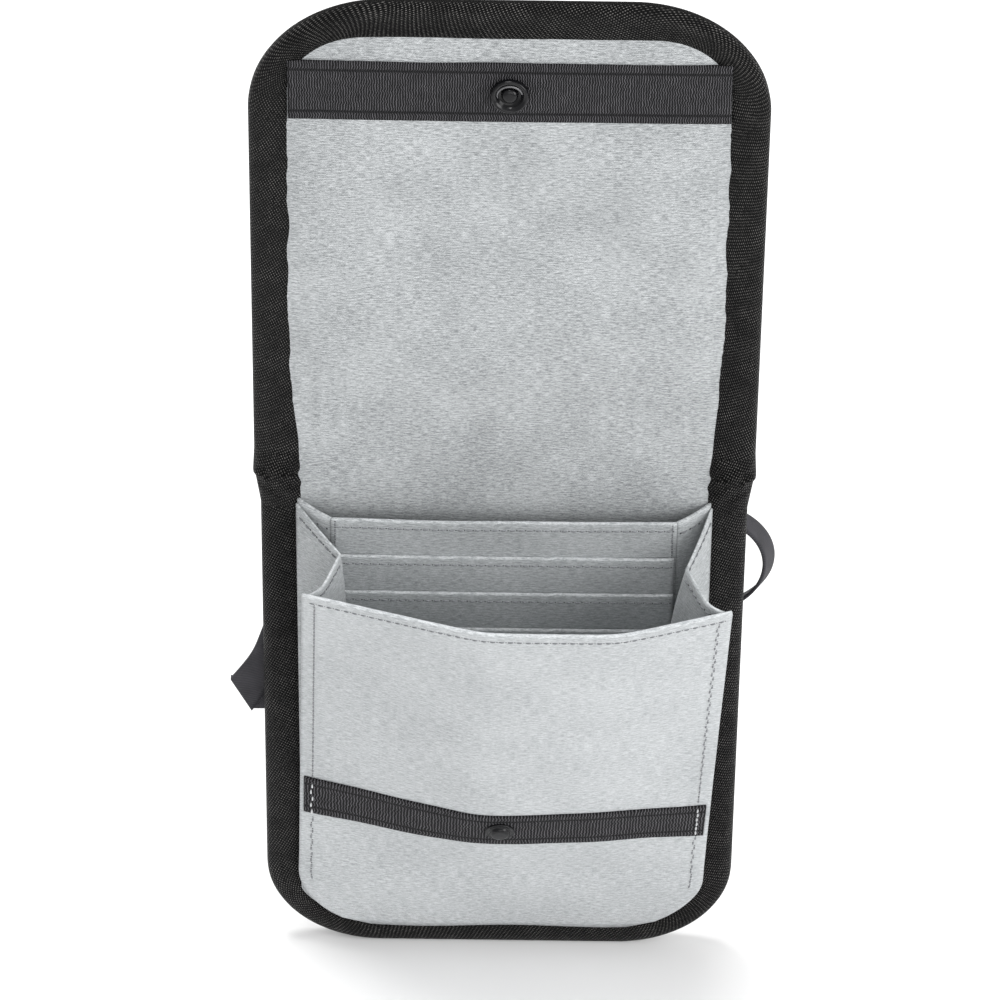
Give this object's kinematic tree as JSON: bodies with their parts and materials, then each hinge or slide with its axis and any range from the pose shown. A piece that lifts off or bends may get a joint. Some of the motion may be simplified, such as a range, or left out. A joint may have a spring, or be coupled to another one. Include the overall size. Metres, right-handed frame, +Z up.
{
  "type": "neck pouch wallet",
  "caption": "Neck pouch wallet with a fold-over snap flap, a gusseted front pocket, a card organizer and a folded adjustable neck strap.",
  "frame": {"origin": "bottom edge of the body, in the middle of the back panel's width and thickness", "axes": "+Z up from the bottom edge to the tip of the open flap, -Y out of the front pocket, +X to the right seen from the front"},
  "size_m": [0.1429, 0.0482, 0.342],
  "materials": {
    "shell_fabric": "cool light grey heather polyester, plain weave",
    "lining_fabric": "cool grey heather polyester, plain weave",
    "pocket_fabric": "thin cool grey heather polyester",
    "foam": "closed-cell foam padding",
    "binding_tape": "black woven nylon binding",
    "grosgrain_tape": "charcoal ribbed grosgrain tape",
    "strap_webbing": "charcoal flat webbing",
    "snap_plastic": "glossy black",
    "slider_plastic": "satin black",
    "spring_wire": "drawn wire"
  },
  "bodies": {
    "back": {"back_shell": "shell_fabric", "back_core": "foam", "back_lining": "lining_fabric", "body_binding": "binding_tape", "binding_laps": "binding_tape", "strap_anchor_left": "strap_webbing", "strap_anchor_right": "strap_webbing"},
    "spine": {"spine_shell": "shell_fabric", "spine_lining": "lining_fabric", "spine_binding": "binding_tape"},
    "flap": {"flap_shell": "shell_fabric", "flap_core": "foam", "flap_lining": "lining_fabric", "flap_binding": "binding_tape", "flap_tape": "grosgrain_tape", "snap_socket": "snap_plastic", "snap_spring": "spring_wire", "snap_cap": "snap_plastic"},
    "organizer": {"organizer_panel": "pocket_fabric", "card_slot_upper": "pocket_fabric", "card_slot_middle": "pocket_fabric", "card_slot_lower": "pocket_fabric"},
    "wing_left": {"wing_left": "pocket_fabric"},
    "wing_right": {"wing_right": "pocket_fabric"},
    "gusset_left_rear": {"gusset_left_rear": "pocket_fabric"},
    "gusset_right_rear": {"gusset_right_rear": "pocket_fabric"},
    "gusset_left_front": {"gusset_left_front": "pocket_fabric"},
    "gusset_right_front": {"gusset_right_front": "pocket_fabric"},
    "front": {"front_panel": "shell_fabric", "front_tape": "grosgrain_tape", "snap_stud": "snap_plastic", "snap_stud_back": "snap_plastic"},
    "strap": {"neck_strap": "strap_webbing"},
    "slider": {"strap_slider": "slider_plastic", "strap_end_loop": "strap_webbing"}
  },
  "joints": [
    {"name": "flap_fold", "type": "hinge", "parent": "back", "child": "spine", "pos_m": [0, -0.0031, 0.18067], "axis": [1, 0, 0], "range_deg": [0, 90]},
    {"name": "flap_turn", "type": "hinge", "parent": "spine", "child": "flap", "pos_m": [0, -0.0031, 0.19633], "axis": [1, 0, 0], "range_deg": [0, 93.6]},
    {"name": "pocket_spread", "type": "hinge", "parent": "back", "child": "front", "pos_m": [0, -0.0031, 0.0115], "axis": [1, 0, 0], "range_deg": [-7.9, 0]},
    {"name": "organizer_lean", "type": "hinge", "parent": "back", "child": "organizer", "pos_m": [0, -0.0025, 0.04], "axis": [1, 0, 0], "range_deg": [-2, 0]},
    {"name": "wing_fold_left", "type": "hinge", "parent": "back", "child": "wing_left", "pos_m": [-0.0517, -0.0025, 0.04], "axis": [0, 0, 1], "range_deg": [0, 33]},
    {"name": "wing_fold_right", "type": "hinge", "parent": "back", "child": "wing_right", "pos_m": [0.0517, -0.0025, 0.04], "axis": [0, 0, 1], "range_deg": [-33, 0]},
    {"name": "gusset_fold_left_rear", "type": "hinge", "parent": "back", "child": "gusset_left_rear", "pos_m": [-0.053, -0.00335, 0.04], "axis": [0, 0, 1], "range_deg": [0, 33.9]},
    {"name": "gusset_fold_right_rear", "type": "hinge", "parent": "back", "child": "gusset_right_rear", "pos_m": [0.053, -0.00335, 0.04], "axis": [0, 0, 1], "range_deg": [-33.9, 0]},
    {"name": "gusset_fold_left_front", "type": "hinge", "parent": "front", "child": "gusset_left_front", "pos_m": [-0.05094, -0.0079, 0.03961], "axis": [-0.0318, -0.1993, 0.9794], "range_deg": [-49.9, 0]},
    {"name": "gusset_fold_right_front", "type": "hinge", "parent": "front", "child": "gusset_right_front", "pos_m": [0.05094, -0.0079, 0.03961], "axis": [0.0318, -0.1993, 0.9794], "range_deg": [0, 49.9]},
    {"name": "strap_swing", "type": "hinge", "parent": "back", "child": "strap", "pos_m": [0, 0.0034, 0.16], "axis": [1, 0, 0], "range_deg": [0, 90]},
    {"name": "slider_travel", "type": "slide", "parent": "strap", "child": "slider", "axis": [1, 0, 0], "range_m": [-0.02, 0.02]}
  ],
  "couplings": [
    {"joint": "flap_turn", "follows": "flap_fold", "ratio": 1.04},
    {"joint": "pocket_spread", "follows": "flap_fold", "ratio": -0.087778},
    {"joint": "organizer_lean", "follows": "flap_fold", "ratio": -0.022222},
    {"joint": "wing_fold_left", "follows": "flap_fold", "ratio": 0.36667},
    {"joint": "wing_fold_right", "follows": "flap_fold", "ratio": -0.36667},
    {"joint": "gusset_fold_left_rear", "follows": "flap_fold", "ratio": 0.37667},
    {"joint": "gusset_fold_right_rear", "follows": "flap_fold", "ratio": -0.37667},
    {"joint": "gusset_fold_left_front", "follows": "flap_fold", "ratio": -0.55444},
    {"joint": "gusset_fold_right_front", "follows": "flap_fold", "ratio": 0.55444}
  ]
}
